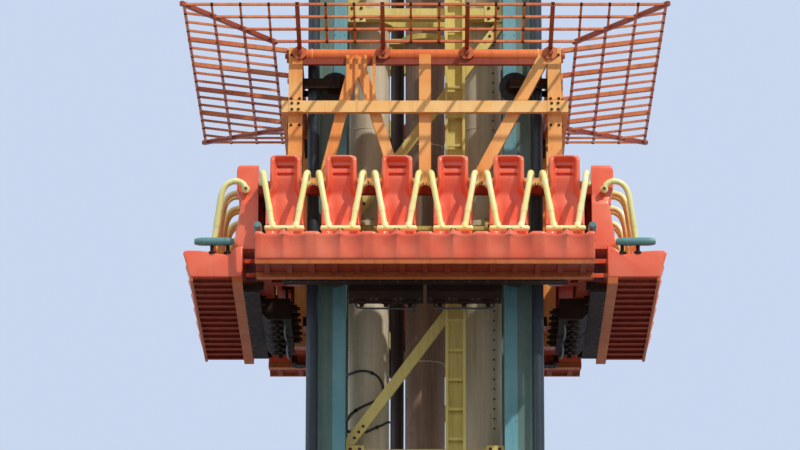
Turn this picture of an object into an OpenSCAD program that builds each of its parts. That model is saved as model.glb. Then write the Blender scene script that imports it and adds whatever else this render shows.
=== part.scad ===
// Drop tower ride: a square lattice tower with a ring-shaped seat carriage.
// Millimetres, +Z up, the origin at ground level on the tower's axis, the front towards -Y.
// What repeats on the four sides is made once for the front and turned in quarter turns.

/* [Tower] */
// Number of lattice bays
bay_count = 10; // [9:1:12]
// Height of one lattice bay
bay_h = 2500; // [2300:10:2700]
// Height of the lowest ring of beams above the ground
base_h = 400; // [300:10:600]
// Distance from the tower's axis to a column's centre, along each side
column_at = 1005; // [960:5:1060]
// Width of a column's steel section
column_w = 300; // [240:5:330]
// Thickness of a column's flanges
column_flange = 24; // [14:1:40]
// Thickness of a column's web
column_web = 40; // [14:1:80]
// Width of a ring beam
ring_w = 120; // [80:5:160]
// Width of a lattice diagonal
brace_w = 110; // [70:5:140]
// Depth of a lattice diagonal
brace_t = 80; // [40:5:110]
// Width and length of a foot plate
foot_w = 620; // [520:10:660]
// Thickness of a foot plate
foot_t = 40; // [20:5:60]
// Distance between the anchor bolt holes of a foot plate
anchor_pitch = 440; // [380:10:480]
// Diameter of an anchor bolt hole
anchor_d = 42; // [24:1:60]

/* [Guide rails] */
// Diameter of a guide tube
rail_d = 130; // [90:5:160]
// Distance from a column's outer face to the guide tube's centre
rail_reach = 65; // [50:5:80]
// Thickness of the web that holds a guide tube
rail_web = 40; // [20:2:60]

/* [Air tubes] */
// Diameter of an air tube
tube_d = 440; // [300:10:480]
// Distance from the tower's axis to an outer air tube, along each side
tube_at = 620; // [580:5:640]
// Diameter of a tube flange
flange_d = 540; // [480:10:580]
// Thickness of a tube flange
flange_t = 60; // [30:5:90]

// Diameter of the air riser behind the tubes
riser_d = 150; // [100:5:170]
// Distance from the tower's axis to the riser, along each side
riser_at = 310; // [300:5:320]

/* [Ladder] */
// Distance from the tower's middle plane to the ladder's centre
ladder_at = 330; // [200:5:420]
// Width of the ladder
ladder_w = 220; // [180:5:320]
// Depth of the ladder's side bars
ladder_t = 100; // [50:5:120]
// Distance between rungs
rung_pitch = 330; // [280:5:400]

/* [Carriage] */
// Number of seats in a row
seats = 6; // [4:1:7]
// Distance between seat centres
seat_pitch = 600; // [580:5:640]
// Height of the carriage's underside above a ring of beams, less one bay
carriage_drop = 715; // [400:5:900]
// Distance from the tower's axis to the front lip of a seat row
pan_out = 2600; // [2560:5:2700]
// Height of a seat pan
pan_h = 300; // [240:5:340]
// Width of a carriage post
post_w = 150; // [100:5:160]
// Clearance between a carriage post and a guide tube
guide_gap = 55; // [40:5:80]
// Height of the top tube's centre above the carriage's underside
top_tube_z = 2610; // [2400:10:2800]
// Height of the belt beam's centre above the carriage's underside
belt_z = 1990; // [1800:10:2100]
// Height of the belt beam
belt_h = 130; // [90:5:160]
// Depth of the belt beam
belt_t = 70; // [50:5:90]
// Width of the frame's inner members
member_w = 130; // [90:5:150]
// Depth of the frame's inner members
member_t = 100; // [60:5:110]

/* [Seats and restraints] */
// Width of a seat back
back_w = 420; // [360:5:480]
// Width of a headrest
head_w = 330; // [280:5:360]
// Height of a headrest's top above the carriage's underside
head_top = 1300; // [1200:10:1400]
// Height of the restraint's hinge above the carriage's underside
hinge_z = 1000; // [940:5:1040]
// Distance from the back of the row to the restraint's hinge
hinge_out = 135; // [110:5:160]
// Diameter of a restraint tube
bar_d = 64; // [50:1:70]
// Running gap beside a restraint's hub
hub_gap = 0.3; // [0.2:0.1:1]

/* [Guide wheels] */
// Diameter of a guide wheel
wheel_d = 340; // [240:5:360]
// Width of a guide wheel
wheel_w = 60; // [40:5:64]
// Running gap between a guide wheel and its tube
wheel_gap = 0.5; // [0.2:0.1:6]

/* [Guard canopy] */
// Distance from the tower's axis to the canopy's inner edge
canopy_in = 1640; // [1600:5:1700]
// Distance from the tower's axis to the canopy's outer edge
canopy_out = 2600; // [2400:5:2700]
// Height of the canopy's inner edge above the top tube's centre
canopy_lift = 90; // [80:5:160]
// Rise of the canopy from its inner to its outer edge
canopy_rise = 120; // [40:5:300]
// Distance between the canopy's ribs
rib_pitch = 305; // [280:5:330]
// Width of a thin canopy bar
thin_bar = 24; // [14:1:34]
// Width of a thick canopy bar
thick_bar = 46; // [36:1:60]

/* [Head] */
// Height of the head's beams
head_beam_h = 240; // [160:10:300]
// Width of the head's beams
head_beam_w = 200; // [140:10:240]
// Diameter of a head sheave
sheave_d = 640; // [500:10:800]
// Width of a head sheave
sheave_w = 110; // [70:5:130]

/* [Hidden] */
SIDES = ["front", "right", "back", "left"];
$fn = 48;
cut = 1;

teal = [0.33, 0.55, 0.56];
navy = [0.13, 0.19, 0.23];
straw = [0.80, 0.72, 0.33];
tube_grey = [0.62, 0.56, 0.48];
orange = [0.86, 0.45, 0.16];
red = [0.85, 0.27, 0.16];
rust = [0.42, 0.14, 0.08];
lemon = [0.90, 0.88, 0.42];
black = [0.10, 0.10, 0.11];

column_out = column_at + column_w / 2;
column_inner = column_at - column_w / 2;
rail_at = column_out + rail_reach;
rail_out = rail_at + rail_d / 2;
lattice_top = base_h + bay_count * bay_h;
column_top = lattice_top + ring_w / 2;
base_beam_h = 160;
// The guide tubes start above the lowest ring, so that the anchor bolts stay open.
rail_low = base_h + ring_w / 2;

// The posts stand clear of the guide tubes; the frame's front face is the posts' face.
post_in = rail_out + guide_gap;
post_at = post_in + post_w / 2;
post_out = post_in + post_w;
row_half = seats * seat_pitch / 2;
carriage_bay = 6;
carriage_z = base_h + carriage_bay * bay_h - carriage_drop;

// The ring beam under the seat rows, and the beam at shoulder height.
row_ring_w = 150;
row_ring_low = 20;
row_ring_high = row_ring_low + row_ring_w;
shoulder_w = 70;
shoulder_low = 930;
shoulder_high = 1030;
pan_in = row_half + 160;
sill_low = 1090;
sill_high = 1200;

// The guide wheels' axles.
wheel_at = rail_at - rail_d / 2 - wheel_gap - wheel_d / 2;
wheel_high = belt_z + 320;
wheel_low = row_ring_low + 190;

// Turn what is made for the front to side i.
module turned(i) {
    rotate([0, 0, 90 * i]) children();
}

// A part of the carriage, at its height on the tower.
module on_carriage(i) {
    turned(i) translate([0, 0, carriage_z]) children();
}

// A box from its low corner to its high corner.
module block(low, high) {
    translate(low) cube(high - low);
}

// A profile in Y and Z, run along X between two places.
module run_x(from_x, to_x) {
    translate([from_x, 0, 0]) rotate([90, 0, 90]) linear_extrude(to_x - from_x) children();
}

// A flat shape in X and Z, with its face at depth y and its thickness towards -Y.
module sheet_xz(y, thick) {
    translate([0, y, 0]) rotate([90, 0, 0]) linear_extrude(thick) children();
}

// A bar's outline from point a to point b.
module bar_outline(a, b, w) {
    run = b - a;
    side = [-run[1], run[0]] / norm(run) * w / 2;
    polygon([a + side, b + side, b - side, a - side]);
}

// Points on an arc, for outlines with round stretches.
function arc(centre, r, from_a, to_a, steps) =
    [for (k = [0 : steps]) centre + r * [cos(from_a + (to_a - from_a) * k / steps),
                                         sin(from_a + (to_a - from_a) * k / steps)]];

// Tower

module base_frame() {
    color(teal) {
        inner = column_at - foot_w / 2;
        foot_gap = 5;
        beam_half = inner - foot_gap - tube_at;
        for (i = [0 : 3]) {
            turned(i) block([-inner, -column_at - ring_w / 2, 0], [inner, -column_at + ring_w / 2, base_beam_h]);
        }
        for (y = [-tube_at, 0, tube_at]) {
            block([-column_at + ring_w / 2, y - beam_half, 0], [column_at - ring_w / 2, y + beam_half, base_beam_h]);
        }
        for (x = [-tube_at, -riser_at, tube_at]) {
            block([x - beam_half, -column_at, 0], [x + beam_half, column_at, base_beam_h]);
        }
    }
}

// One column at the front left corner, with its foot plate and its guide tube.
module column() {
    rail_end_gap = 10;
    rail_h = column_top - rail_end_gap - rail_low;
    color(teal) translate([-column_at, -column_at, 0]) {
        half = column_w / 2;
        for (y = [-half, half - column_flange]) {
            block([-half, y, 0], [half, y + column_flange, column_top]);
        }
        block([-column_web / 2, -half, 0], [column_web / 2, half, column_top]);
        block([-half, -half, 0], [-half + column_flange, half, column_top]);
        difference() {
            block([-foot_w / 2, -foot_w / 2, 0], [foot_w / 2, foot_w / 2, foot_t]);
            for (x = [-1, 1], y = [-1, 1]) {
                translate([x * anchor_pitch / 2, y * anchor_pitch / 2, -cut])
                    cylinder(d = anchor_d, h = foot_t + 2 * cut);
            }
        }
    }
    color(navy) {
        translate([-rail_at, -rail_at, rail_low]) cylinder(d = rail_d, h = rail_h);
        translate([-column_at, -column_at, rail_low]) rotate([0, 0, 225])
            block([column_w / 2, -rail_web / 2, 0], [(rail_at - column_at) * sqrt(2), rail_web / 2, rail_h]);
    }
}

// The front face of the lattice: its ring beams and one diagonal in each bay.
module lattice() {
    color(straw) {
        for (k = [0 : bay_count]) {
            z = base_h + k * bay_h;
            block([-column_inner, -column_at - ring_w / 2, z - ring_w / 2],
                  [column_inner, -column_at + ring_w / 2, z + ring_w / 2]);
        }
        for (k = [0 : bay_count - 1]) {
            low = base_h + k * bay_h + ring_w / 2;
            high = low + bay_h - ring_w;
            sheet_xz(-column_at + brace_t / 2, brace_t) intersection() {
                translate([-column_inner, low]) square([2 * column_inner, high - low]);
                bar_outline([-column_inner, low + brace_w / 4], [column_inner, high - brace_w / 4], brace_w);
            }
        }
    }
}

// One closed air tube on the tower's axis, with flanges above some ring beams.
module air_tube() {
    color(tube_grey) {
        translate([0, 0, base_beam_h]) cylinder(d = tube_d, h = column_top - base_beam_h);
        translate([0, 0, base_beam_h]) cylinder(d = flange_d, h = flange_t / 2);
        for (k = [2 : 2 : bay_count - 1]) {
            translate([0, 0, base_h + k * bay_h + ring_w]) cylinder(d = flange_d, h = flange_t);
        }
    }
}

// The slimmer riser that feeds the tubes from below.
module air_riser() {
    color(navy) translate([-riser_at, riser_at, base_beam_h]) cylinder(d = riser_d, h = column_top - base_beam_h);
}

// The flat frames that hold the air tubes inside the ring beams.
module tube_guides() {
    collar = 50;
    seat = 0.3;
    inner = column_at - ring_w / 2;
    color(straw) for (k = [1 : bay_count - 1]) {
        translate([0, 0, base_h + k * bay_h - ring_w / 4]) linear_extrude(ring_w / 2) difference() {
            union() {
                for (x = [-tube_at, tube_at], y = [-tube_at, tube_at]) {
                    translate([x, y]) circle(d = tube_d + 2 * collar);
                }
                circle(d = tube_d + 2 * collar);
                for (a = [-1, 1]) {
                    translate([a * tube_at - ring_w / 2, -inner]) square([ring_w, 2 * inner]);
                    translate([-inner, a * tube_at - ring_w / 2]) square([2 * inner, ring_w]);
                }
                square([2 * tube_at, ring_w], center = true);
                translate([-riser_at, riser_at]) circle(d = riser_d + 2 * collar);
                translate([-riser_at - ring_w / 2, 0]) square([ring_w, inner]);
            }
            translate([-riser_at, riser_at]) circle(d = riser_d + 2 * seat);
            for (x = [-tube_at, tube_at], y = [-tube_at, tube_at]) {
                translate([x, y]) circle(d = tube_d + 2 * seat);
            }
            circle(d = tube_d + 2 * seat);
        }
    }
}

// The ladder stands on the front ring beams, in front of a closed tray.
module tower_ladder() {
    side_bar = 30;
    tray_t = 10;
    back = -column_at - ring_w / 2;
    low = base_h - ring_w / 2;
    rung_t = 30;
    count = floor((column_top - low) / rung_pitch) - 1;
    color(straw) {
        for (a = [-1, 1]) {
            centre = ladder_at + a * (ladder_w - side_bar) / 2;
            block([centre - side_bar / 2, back - ladder_t, low], [centre + side_bar / 2, back, column_top]);
        }
        block([ladder_at - ladder_w / 2 + cut, back - tray_t, low], [ladder_at + ladder_w / 2 - cut, back, column_top]);
        for (k = [0 : count]) {
            z = low + (k + 0.5) * rung_pitch;
            block([ladder_at - ladder_w / 2 + cut, back - ladder_t * 0.7, z],
                  [ladder_at + ladder_w / 2 - cut, back - ladder_t * 0.7 + rung_t, z + rung_t]);
        }
    }
}

// Head

module head_frame() {
    low = column_top;
    high = low + head_beam_h;
    color(teal) {
        for (i = [0 : 3]) {
            turned(i) block([-column_out + head_beam_w, -column_out, low], [column_out, -column_out + head_beam_w, high]);
        }
        for (y = [-tube_at, 0, tube_at]) {
            block([-column_out + head_beam_w, y - ring_w, low], [column_out - head_beam_w, y + ring_w, high]);
        }
    }
}

module head_deck() {
    deck_t = 20;
    color(straw) block([-column_out, -column_out, column_top + head_beam_h],
                       [column_out, column_out, column_top + head_beam_h + deck_t]);
}

// Four sheaves, one over each side, each between two bearing plates on the deck.
module head_sheaves() {
    deck_t = 20;
    deck = column_top + head_beam_h + deck_t;
    axle_z = deck + sheave_d / 2 + 60;
    plate_t = 20;
    side_gap = 15;
    groove_d = 60;
    color(navy) for (i = [0 : 3]) {
        turned(i) translate([0, -column_out + sheave_d / 2, 0]) {
            translate([0, 0, axle_z]) rotate([0, 90, 0]) difference() {
                cylinder(d = sheave_d, h = sheave_w, center = true);
                rotate_extrude() translate([sheave_d / 2, 0]) circle(d = groove_d);
            }
            translate([0, 0, axle_z]) rotate([0, 90, 0])
                cylinder(d = 90, h = sheave_w + 2 * side_gap + 2 * plate_t + 40, center = true);
            for (a = [-1, 1]) {
                x = a * (sheave_w / 2 + side_gap + plate_t / 2);
                run_x(x - plate_t / 2, x + plate_t / 2)
                    polygon(concat([[-sheave_d * 0.3, deck], [sheave_d * 0.3, deck]],
                                   arc([0, axle_z], 110, 0, 180, 12)));
            }
        }
    }
}

// Carriage

// The front portal: its left post, top tube, sill, centre post, braces and wheel plates.
module frame() {
    pair_top_at = -750;
    pair_foot_at = [-1120, -280];
    pair_w = member_w * 0.9;
    brace_foot_at = 520;
    wheel_arm_t = 40;
    wheel_arm_h = 110;
    arm_in = wheel_at - wheel_arm_h / 2;
    back = -post_in - (post_w - member_t);
    color(orange) {
        block([-post_out, -post_out, row_ring_low], [-post_in, -post_in, top_tube_z + post_w / 2]);
        translate([-post_in - cut, -post_at, top_tube_z]) rotate([0, 90, 0])
            cylinder(d = post_w - 2, h = 2 * post_in + cut);
        block([-post_in - cut, -post_out, sill_low], [post_in, back, sill_high]);
        block([-post_out, -post_out - belt_t, belt_z - belt_h / 2],
              [post_out + belt_t, -post_out, belt_z + belt_h / 2]);
        sheet_xz(back, member_t) intersection() {
            translate([-post_in, sill_low]) square([2 * post_in, top_tube_z - sill_low]);
            union() {
                translate([-member_w / 2, sill_low]) square([member_w, top_tube_z - sill_low]);
                for (x = pair_foot_at) bar_outline([pair_top_at, top_tube_z], [x, sill_low], pair_w);
                bar_outline([post_in - 20, top_tube_z], [brace_foot_at, sill_low], member_w);
            }
        }
        for (k = [0 : 3]) {
            x = -860 + k * 95;
            block([x, -post_out - belt_t / 2, belt_z], [x + 35, back, top_tube_z - 20]);
        }
        for (a = [-1, 1], z = [wheel_high, wheel_low]) {
            low_x = a < 0 ? -post_in - cut : arm_in;
            high_x = a < 0 ? -arm_in : post_in;
            block([low_x, -post_in - wheel_arm_t, z - wheel_arm_h / 2], [high_x, -post_in, z + wheel_arm_h / 2]);
        }
    }
}

// The frame of the front row: ring beam, seat beam, arms, back supports, shoulder beam and valve housings.
module row_frame() {
    seat_beam_w = 110;
    seat_beam_h = 70;
    arm_w = 60;
    support_w = 80;
    support_t = 50;
    housing_at = 420;
    housing_w = 800;
    housing_h = 210;
    housing_t = 330;
    color(rust) {
        block([-row_half + row_ring_w, -row_half, row_ring_low], [row_half, -row_half + row_ring_w, row_ring_high]);
        block([-row_half + shoulder_w, -row_half, shoulder_low], [row_half, -row_half + shoulder_w, shoulder_high]);
        block([-row_half, -pan_in - seat_beam_w, -seat_beam_h], [row_half, -pan_in, 0]);
        for (k = [0 : seats - 1]) {
            x = -row_half + (k + 0.5) * seat_pitch;
            block([x - arm_w / 2, -pan_in, -seat_beam_h], [x + arm_w / 2, -row_half + arm_w, row_ring_low + cut]);
            block([x - support_w / 2, -row_half, row_ring_low], [x + support_w / 2, -row_half + support_t, shoulder_high]);
        }
        for (x = [-housing_at, housing_at]) {
            run_x(x - housing_w / 2, x + housing_w / 2) polygon([
                [-row_half + 20, row_ring_low + cut], [-row_half + 20, -housing_h + 60], [-row_half + 80, -housing_h],
                [-row_half + housing_t, -housing_h], [-row_half + housing_t, row_ring_low + cut]]);
        }
        for (x = [-post_at, post_at], z = [[row_ring_low, row_ring_high], [shoulder_low, shoulder_high]]) {
            block([x - post_w / 2, -row_half, z[0]], [x + post_w / 2, -post_out, z[1]]);
        }
    }
}

// The moulded bench of the front row, with a hollow for each thigh and a grab rail at each end.
module seat_pan() {
    lip = 40;
    lean = 80;
    dip = 50;
    thigh_r = 125;
    thigh_at = 118;
    thigh_z = pan_h + 70;
    rail_out_y = 2475;
    rail_in_y = 2055;
    grab_d = 90;
    grab_z = pan_h + 100;
    color(red) difference() {
        run_x(-row_half, row_half) polygon(concat(
            [[-pan_in, 0], [-pan_out + lean, 0]],
            arc([-pan_out + lip, pan_h - lip], lip, 180, 90, 6),
            [[-pan_out + 250, pan_h - 10], [-pan_in - 200, pan_h - dip], [-pan_in - 90, pan_h + 20], [-pan_in, pan_h + 40]]));
        for (k = [0 : seats - 1], a = [-1, 1]) {
            translate([-row_half + (k + 0.5) * seat_pitch + a * thigh_at, -pan_in - 130, thigh_z])
                rotate([90, 0, 0]) cylinder(r = thigh_r, h = pan_out);
        }
    }
    color(teal) for (a = [-1, 1]) {
        translate([a * (row_half - 20), -rail_in_y, grab_z]) rotate([90, 0, 0])
            cylinder(d = grab_d, h = rail_out_y - rail_in_y);
        for (y = [rail_in_y + 65, rail_out_y - 185]) {
            translate([a * (row_half - 30), -y, pan_h - dip]) cylinder(d = 50, h = grab_z - pan_h + dip);
        }
    }
}

// The ribbed sheet under the front row.
module underside() {
    sheet_t = 12;
    rib_h = 30;
    rib_w = 60;
    edge = 30;
    rib_step = 240;
    ribs = floor(2 * row_half / rib_step);
    outer = pan_out - 80;
    inner = pan_in + 110;
    color(rust) {
        block([-row_half, -outer, -sheet_t], [row_half, -inner, 0]);
        for (k = [0 : ribs - 1]) {
            x = (k - (ribs - 1) / 2) * rib_step;
            block([x - rib_w / 2, -outer + edge, -sheet_t - rib_h], [x + rib_w / 2, -inner, -sheet_t + cut]);
        }
        block([-row_half, -outer, -sheet_t - rib_h], [row_half, -outer + edge, -sheet_t + cut]);
    }
}

// The backs of the front row: each a shell with side wings, a slotted headrest and hinge bosses.
module seat_backs() {
    boss_d = 64;
    shoulder_z = head_top - 340;
    lean_y = 90;
    slot_h = 26;
    color(red) for (k = [0 : seats - 1]) {
        translate([-row_half + (k + 0.5) * seat_pitch, -row_half, 0]) {
            difference() {
                intersection() {
                    sheet_xz(0, 400) polygon([
                        [-back_w / 2, pan_h + 40], [-back_w / 2, shoulder_z - 120], [-head_w / 2, shoulder_z],
                        [-head_w / 2, head_top - 40], [-head_w / 2 + 40, head_top], [head_w / 2 - 40, head_top],
                        [head_w / 2, head_top - 40], [head_w / 2, shoulder_z], [back_w / 2, shoulder_z - 120],
                        [back_w / 2, pan_h + 40]]);
                    run_x(-back_w, back_w) polygon([
                        [0, pan_h + 40], [-160, pan_h + 40], [-260, pan_h + 60], [-250, pan_h + 150],
                        [-lean_y - 90, shoulder_z - 60], [-240, shoulder_z + 60], [-240, head_top - 30],
                        [-200, head_top], [0, head_top]]);
                }
                run_x(-back_w / 2 + 50, back_w / 2 - 50) polygon([
                    [-300, pan_h + 130], [-120, pan_h + 130], [-lean_y, shoulder_z - 80], [-300, shoulder_z - 80]]);
                run_x(-head_w / 2 + 45, head_w / 2 - 45) polygon([
                    [-300, shoulder_z - 90], [-lean_y, shoulder_z - 90], [-150, shoulder_z + 60],
                    [-150, head_top - 120], [-300, head_top - 120]]);
                for (z = [head_top - 90, head_top - 200]) {
                    block([-head_w / 2 + 70, -300, z], [head_w / 2 - 70, -110, z + slot_h]);
                }
            }
            for (a = [0, 1]) mirror([a, 0, 0]) {
                translate([head_w / 2 - cut, -hinge_out, hinge_z]) rotate([0, 90, 0])
                    cylinder(d = boss_d, h = (back_w - head_w) / 2 + cut);
            }
        }
    }
}

// One restraint's path, from the hinge over the shoulder and down to the lap bar.
hub_x = back_w / 2 + hub_gap + bar_d / 2 + 2;
restraint_path = [
    [hub_x, -row_half - hinge_out, hinge_z],
    [hub_x - 4, -row_half - hinge_out - 70, hinge_z + 80],
    [hub_x - 14, -row_half - hinge_out - 190, hinge_z + 70],
    [hub_x - 30, -row_half - hinge_out - 270, hinge_z - 60],
    [120, -row_half - hinge_out - 350, 410]];

// A round bar from point a to point b.
module rod(a, b, d) {
    v = b - a;
    translate(a) rotate([0, acos(v[2] / norm(v)), atan2(v[1], v[0])]) cylinder(d = d, h = norm(v));
}

module restraints() {
    hub_d = 84;
    hub_w = 40;
    lap_half = 215;
    lap_d = 62;
    last = len(restraint_path) - 1;
    color(lemon) for (k = [0 : seats - 1]) {
        translate([-row_half + (k + 0.5) * seat_pitch, 0, 0]) {
            for (a = [0, 1]) mirror([a, 0, 0]) {
                translate([back_w / 2 + hub_gap, restraint_path[0][1], restraint_path[0][2]])
                    rotate([0, 90, 0]) cylinder(d = hub_d, h = hub_w);
                for (p = [0 : last - 1]) {
                    rod(restraint_path[p], restraint_path[p + 1], bar_d);
                }
                for (p = [1 : last - 1]) {
                    translate(restraint_path[p]) sphere(d = bar_d + 2);
                }
            }
            translate([-lap_half, restraint_path[last][1], restraint_path[last][2]]) rotate([0, 90, 0])
                cylinder(d = lap_d, h = 2 * lap_half);
        }
    }
}

// The four guide wheels of the front side, on axles that stand on the frame's wheel plates.
module guide_wheels() {
    axle_d = 70;
    hub_d = 130;
    hub_t = 90;
    color(black) for (a = [-1, 1], z = [wheel_high, wheel_low]) {
        translate([a * wheel_at, -rail_at, z]) rotate([90, 0, 0]) {
            translate([0, 0, -wheel_w / 2]) cylinder(d = wheel_d, h = wheel_w);
            translate([0, 0, -hub_t / 2]) cylinder(d = hub_d, h = hub_t);
            cylinder(d = axle_d, h = post_in - rail_at);
        }
    }
}

// Canopy

// The outline of the canopy's four main ribs, flat, each running on inwards to its eye.
module main_ribs(slope_len) {
    for (x = [-4.5, -1.5, 1.5, 4.5]) {
        translate([x * rib_pitch - thick_bar / 2, -slope_len])
            square([thick_bar, slope_len + canopy_in - post_out - 10]);
    }
}

// The outline of the front canopy's grid, flat, with its inner edge on the X axis and outwards towards -Y.
module canopy_grid(slope_len, rib_shift) {
    count = floor(canopy_out / rib_pitch);
    rows = 3;
    row_w = thin_bar + 4;
    intersection() {
        polygon([[-canopy_in, 0], [-canopy_out, -slope_len], [canopy_out - rib_shift, -slope_len],
                 [canopy_in - rib_shift, 0]]);
        union() {
            for (k = [-count : count - 1]) {
                translate([(k + 0.5) * rib_pitch - thin_bar / 2, -slope_len]) square([thin_bar, slope_len]);
            }
            for (r = [0 : rows]) {
                translate([-canopy_out, -slope_len + r * (slope_len - row_w) / rows])
                    square([2 * canopy_out, row_w]);
            }
        }
    }
}

module canopy() {
    reach = canopy_out - canopy_in;
    slope = atan2(canopy_rise, reach);
    slope_len = norm([reach, canopy_rise]);
    z_in = top_tube_z + canopy_lift;
    end_gap = 3;
    eye_d = 150;
    eye_t = 24;
    eye_hole = 60;
    eye_z = top_tube_z + 10;
    color(orange) {
        translate([0, -canopy_in, z_in]) rotate([-slope, 0, 0]) {
            linear_extrude(thin_bar, center = true) canopy_grid(slope_len, thick_bar / 2 * sqrt(2) + end_gap);
            linear_extrude(thick_bar, center = true) main_ribs(slope_len);
        }
        corner_rib(z_in);
        for (x = [-4.5, -1.5, 1.5, 4.5]) {
            translate([x * rib_pitch, 0, 0]) sheet_xz(-post_out - 0.3, eye_t) difference() {
                translate([0, eye_z]) circle(d = eye_d);
                translate([0, eye_z]) circle(d = eye_hole);
            }
        }
    }
}

// The inclined corner rib at the front left, made in the upright plane on the diagonal.
module corner_rib(z_in) {
    half = thick_bar / 2;
    near = canopy_in * sqrt(2) - half;
    far = canopy_out * sqrt(2) + half;
    rise = canopy_rise * half / ((canopy_out - canopy_in) * sqrt(2));
    rotate([0, 0, 225]) translate([0, half, 0]) rotate([90, 0, 0]) linear_extrude(thick_bar)
        polygon([[near, z_in - rise - half], [far, z_in + canopy_rise + rise - half],
                 [far, z_in + canopy_rise + rise + half], [near, z_in - rise + half]]);
}

base_frame();
for (i = [0 : 3]) {
    turned(i) column();
    turned(i) lattice();
    turned(i) translate([-tube_at, -tube_at, 0]) air_tube();
    on_carriage(i) frame();
    on_carriage(i) row_frame();
    on_carriage(i) seat_pan();
    on_carriage(i) underside();
    on_carriage(i) seat_backs();
    on_carriage(i) restraints();
    on_carriage(i) guide_wheels();
    on_carriage(i) canopy();
}
air_tube();  // air_tube_centre
air_riser();
tube_guides();
tower_ladder();
head_frame();
head_deck();
head_sheaves();
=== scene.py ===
"""Looks of the drop tower ride: materials, moulded seats, restraints, wheels, bolts and trims."""

import math

import bmesh
import bpy
import numpy as np
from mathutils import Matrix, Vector


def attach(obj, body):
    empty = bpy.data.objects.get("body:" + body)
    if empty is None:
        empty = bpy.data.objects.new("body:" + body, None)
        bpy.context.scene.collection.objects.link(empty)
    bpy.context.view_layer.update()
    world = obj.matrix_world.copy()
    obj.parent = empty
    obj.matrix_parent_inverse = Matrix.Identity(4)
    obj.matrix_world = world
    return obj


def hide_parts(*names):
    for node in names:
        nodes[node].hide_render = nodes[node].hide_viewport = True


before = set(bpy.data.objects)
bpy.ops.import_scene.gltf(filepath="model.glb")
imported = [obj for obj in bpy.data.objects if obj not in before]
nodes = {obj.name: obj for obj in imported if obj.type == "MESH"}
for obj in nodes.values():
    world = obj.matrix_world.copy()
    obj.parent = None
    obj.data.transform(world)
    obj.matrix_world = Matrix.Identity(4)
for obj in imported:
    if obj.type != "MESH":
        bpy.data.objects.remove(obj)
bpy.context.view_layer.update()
scene = bpy.context.scene
SIDES = ("front", "right", "back", "left")
CORNERS = ("front_left", "front_right", "back_right", "back_left")
CORNER_SIGNS = ((-1, -1), (1, -1), (1, 1), (-1, 1))

# Sizes shared with the frame, in metres. Z0 is how high the carriage's own zero stands at rest.
Z0 = 14.685
BASE_H, BAY_H, BAYS = 0.4, 2.5, 10
COLUMN_AT, COLUMN_W = 1.005, 0.30
COLUMN_FACE = COLUMN_AT + COLUMN_W / 2
LATTICE_HALF = COLUMN_AT - COLUMN_W / 2
RING_W = 0.12
TUBE_AT, TUBE_R = 0.62, 0.22
TUBES = tuple((cx * TUBE_AT, cy * TUBE_AT) for cx, cy in CORNER_SIGNS + ((0, 0),))
FLANGE_T = 0.06
COLUMN_TOP = BASE_H + BAYS * BAY_H + RING_W / 2
ROW_HALF, PITCH, SEATS = 1.8, 0.6, 6
PAN_IN = 1.96
HINGE_D, HINGE_Z = 1.935, 1.0
POST_IN, POST_W = 1.34, 0.15
POST_OUT = POST_IN + POST_W
TOP_Z, BELT_Z, BELT_T = 2.61, 1.99, 0.07
RAIL_AT = 1.22
WHEEL_HIGH, WHEEL_LOW = 2.31, 0.21
HOUSING_AT, HOUSING_H = 0.42, 0.21
CAN_IN, CAN_OUT, CAN_Z, CAN_RISE = 1.64, 2.60, 2.70, 0.12
RIB = 0.305


# Camera, lights and world. The camera stands 50 m away and looks up by 15.6 degrees.

cam_data = bpy.data.cameras.new("camera")
cam = bpy.data.objects.new("camera", cam_data)
scene.collection.objects.link(cam)
scene.camera = cam
cam_data.lens, cam_data.sensor_width = 209.3, 36
cam_data.shift_x = -0.03125
cam_data.clip_end = 500
cam.location = (0, -50, 1.785)
cam.rotation_euler = (math.radians(90) + 0.2727, 0, 0)


def sun(name, azimuth, elevation, power, angle, colour):
    """A sun that shines from this side and height, in degrees; azimuth 0 is the front."""
    data = bpy.data.lights.new(name, "SUN")
    data.energy, data.angle, data.color = power, math.radians(angle), colour
    ob = bpy.data.objects.new(name, data)
    scene.collection.objects.link(ob)
    a, e = math.radians(azimuth), math.radians(elevation)
    back = Vector((math.sin(a) * math.cos(e), -math.cos(a) * math.cos(e), math.sin(e)))
    ob.rotation_euler = back.to_track_quat("Z", "Y").to_euler()
    ob.location = back * 40


sun("key", 42, 47, 2.9, 1.2, (1.0, 0.96, 0.90))
sun("fill", -70, 20, 0.35, 30, (0.92, 0.95, 1.0))

# The light grows from the ground up to the sky. What the camera, a gloss or a glass sees is the plain sky.
SEEN_SKY = (0.58, 0.68, 0.86, 1)
LIGHT_SKY = (1.0, 0.985, 0.965, 1)
GROUND_LEVEL, SKY_LEVEL = 0.18, 0.62

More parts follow.
